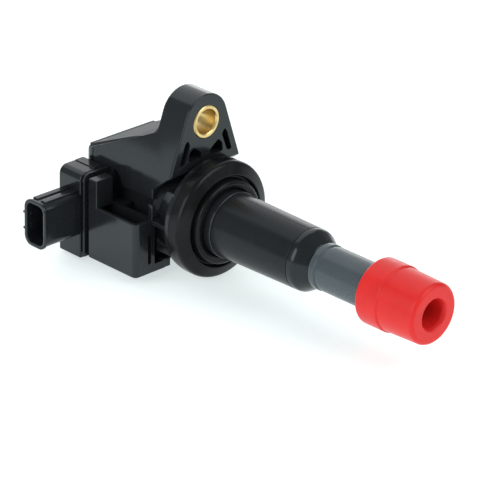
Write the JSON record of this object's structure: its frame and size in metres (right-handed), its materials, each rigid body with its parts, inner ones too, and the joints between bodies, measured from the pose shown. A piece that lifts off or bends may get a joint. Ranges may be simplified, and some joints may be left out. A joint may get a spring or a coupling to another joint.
{
  "type": "ignition coil",
  "caption": "Pencil ignition coil: black head with bolt ear and side connector, well seal, slim shaft and a red silicone plug boot.",
  "frame": {"origin": "on the plug axis, at the back face of the well seal, which is the rear edge of its rim", "axes": "+X along the plug axis towards the boot's tip, +Z towards the bolt ear, -Y towards the connector's mouth"},
  "size_m": [0.1462, 0.0645, 0.063],
  "materials": {
    "black_gloss_plastic": "glossy moulded plastic with a fine texture",
    "black_satin_plastic": "satin moulded plastic",
    "grey_plastic": "satin slate-grey moulded plastic",
    "red_silicone": "satin silicone rubber",
    "black_rubber": "matte moulded rubber",
    "yellow_brass": "turned, bright at the rims",
    "bright_steel": "nickel-plated steel",
    "tinned_brass": "tin-plated brass strip",
    "electrical_steel": "rolled silicon steel",
    "copper_wire": "enamelled copper",
    "spool_plastic": "natural moulded plastic",
    "magnet": "sintered, dark grey",
    "ceramic": "glazed ceramic",
    "potting_resin": "cast epoxy with a slight meniscus"
  },
  "bodies": {
    "coil": {"head_case": "black_gloss_plastic", "connector_housing": "black_gloss_plastic", "resin_fill": "potting_resin", "bolt_bush": "yellow_brass", "coil_tube": "black_satin_plastic", "tube_end_cap": "black_gloss_plastic", "tower_tube": "grey_plastic", "outer_core": "electrical_steel", "primary_bobbin": "spool_plastic", "primary_winding": "copper_wire", "secondary_bobbin": "spool_plastic", "secondary_winding": "copper_wire", "laminated_core": "electrical_steel", "rear_magnet": "magnet", "front_magnet": "magnet", "rear_cushion": "black_rubber", "front_cushion": "black_rubber", "primary_terminals": "tinned_brass", "igniter_package": "black_satin_plastic", "igniter_heat_plate": "copper_wire", "igniter_leads": "tinned_brass", "supply_terminal": "tinned_brass", "ground_terminal": "tinned_brass", "trigger_terminal": "tinned_brass", "high_voltage_terminal": "bright_steel", "noise_resistor": "ceramic", "contact_spring": "bright_steel"},
    "contact": {"plug_contact": "bright_steel"},
    "boot": {"plug_boot": "red_silicone"},
    "seal": {"well_seal": "black_rubber"}
  },
  "joints": [
    {"name": "contact_press", "type": "slide", "parent": "coil", "child": "contact", "axis": [-1, 0, 0], "range_m": [0, 0.0045], "stiffness_N_per_m": 600, "springref_m": -0.003, "deforming": ["contact_spring"]},
    {"name": "boot_pull", "type": "slide", "parent": "coil", "child": "boot", "axis": [1, 0, 0], "range_m": [0, 0.03]},
    {"name": "seal_pull", "type": "slide", "parent": "coil", "child": "seal", "axis": [1, 0, 0], "range_m": [0, 0.11]}
  ]
}
